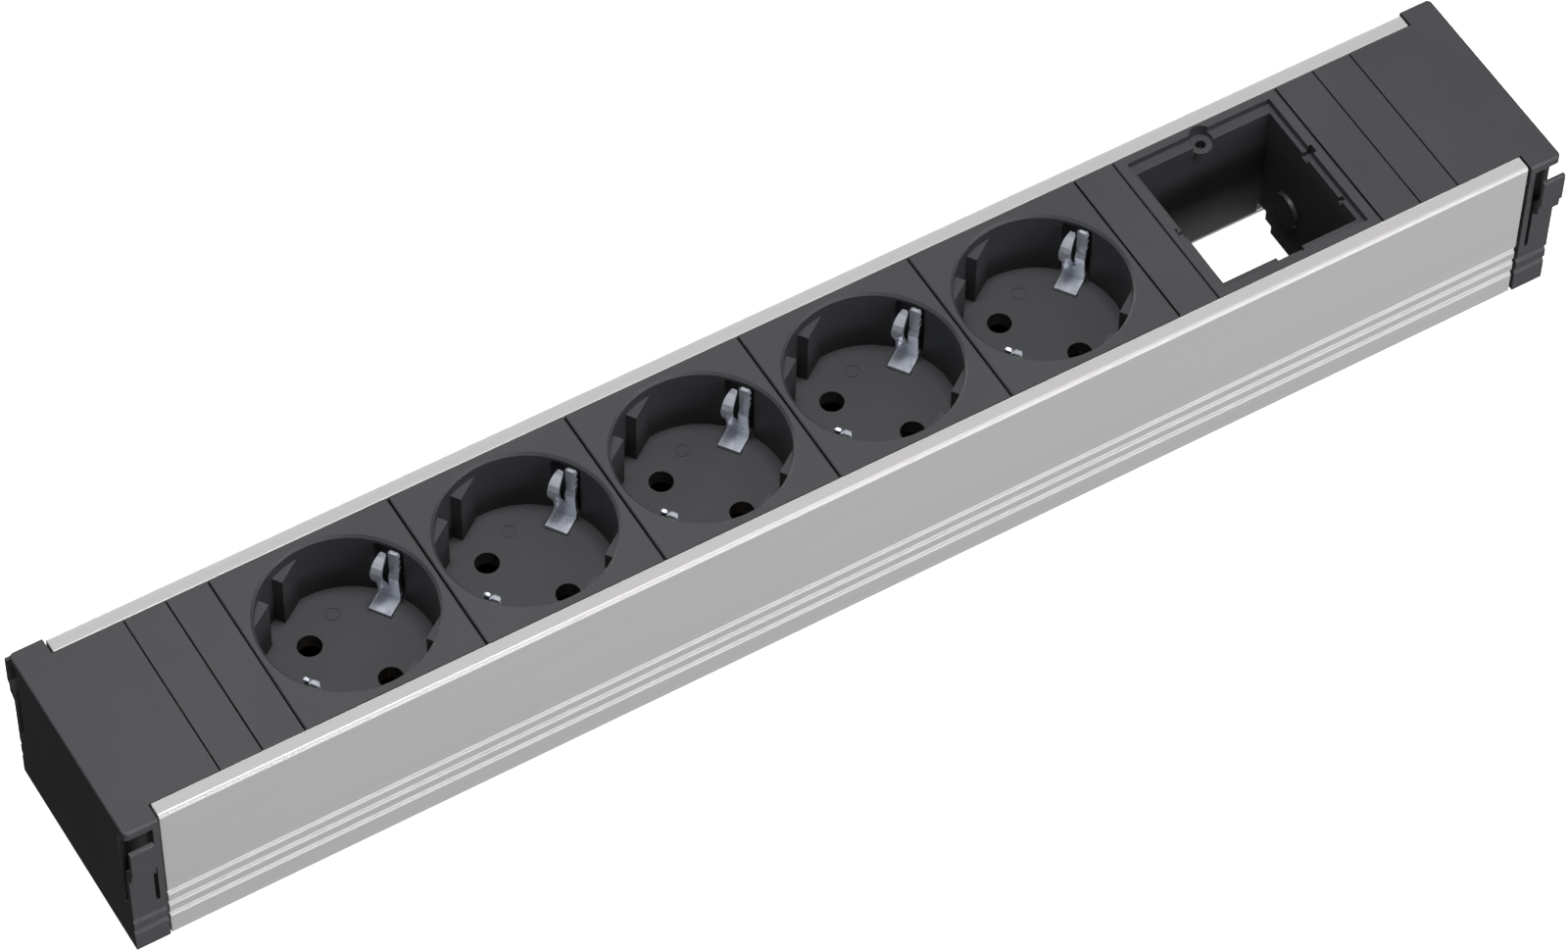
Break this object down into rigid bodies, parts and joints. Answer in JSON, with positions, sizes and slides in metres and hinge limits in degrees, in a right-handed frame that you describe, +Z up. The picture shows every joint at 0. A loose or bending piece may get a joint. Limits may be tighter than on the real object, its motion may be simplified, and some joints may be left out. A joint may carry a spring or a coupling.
{
  "type": "multi-socket unit",
  "caption": "Long desk power unit: silver rails hold a row of dark round-recess sockets turned at an angle, blank strips, an empty insert frame and clip-in end caps.",
  "frame": {"origin": "centre of the underside, midway along and across the unit", "axes": "+X along the row from the left blank strips to the insert frame, +Y to the rear, +Z up out of the sockets"},
  "size_m": [0.3528, 0.0566, 0.0436],
  "materials": {
    "anodised_rail": "natural anodised extrusion, fine matt",
    "cap_plastic": "anthracite moulding, fine matt grain",
    "face_plastic": "anthracite moulding, fine matt grain",
    "socket_plastic": "anthracite moulding, fine matt grain",
    "frame_plastic": "anthracite moulding, fine matt grain",
    "base_plastic": "black moulding, slight sheen",
    "terminal_plastic": "light grey moulding",
    "nickel_clip": "bright nickel-plated spring sheet",
    "busbar_brass": "bare punched sheet",
    "clamp_brass": "nickel-washed brass block",
    "zinc_screw": "zinc-plated steel"
  },
  "bodies": {
    "root": {"blank_strip_1": "face_plastic", "blank_strip_2": "face_plastic", "blank_strip_3": "face_plastic", "blank_strip_4": "face_plastic", "blank_strip_5": "face_plastic", "earth_bracket_1": "nickel_clip", "earth_bracket_2": "nickel_clip", "earth_bracket_3": "nickel_clip", "earth_bracket_4": "nickel_clip", "earth_bracket_5": "nickel_clip", "earth_rail": "busbar_brass", "end_cap_left": "cap_plastic", "end_cap_right": "cap_plastic", "insert_frame": "frame_plastic", "live_busbar": "busbar_brass", "module_screws": "zinc_screw", "neutral_busbar": "busbar_brass", "side_rail_front": "anodised_rail", "side_rail_rear": "anodised_rail", "socket_base_1": "base_plastic", "socket_base_2": "base_plastic", "socket_base_3": "base_plastic", "socket_base_4": "base_plastic", "socket_base_5": "base_plastic", "socket_cover_1": "socket_plastic", "socket_cover_2": "socket_plastic", "socket_cover_3": "socket_plastic", "socket_cover_4": "socket_plastic", "socket_cover_5": "socket_plastic", "terminal_block": "terminal_plastic", "terminal_clamp_earth": "clamp_brass", "terminal_clamp_live": "clamp_brass", "terminal_clamp_neutral": "clamp_brass", "terminal_screws": "zinc_screw"}
  },
  "joints": []
}
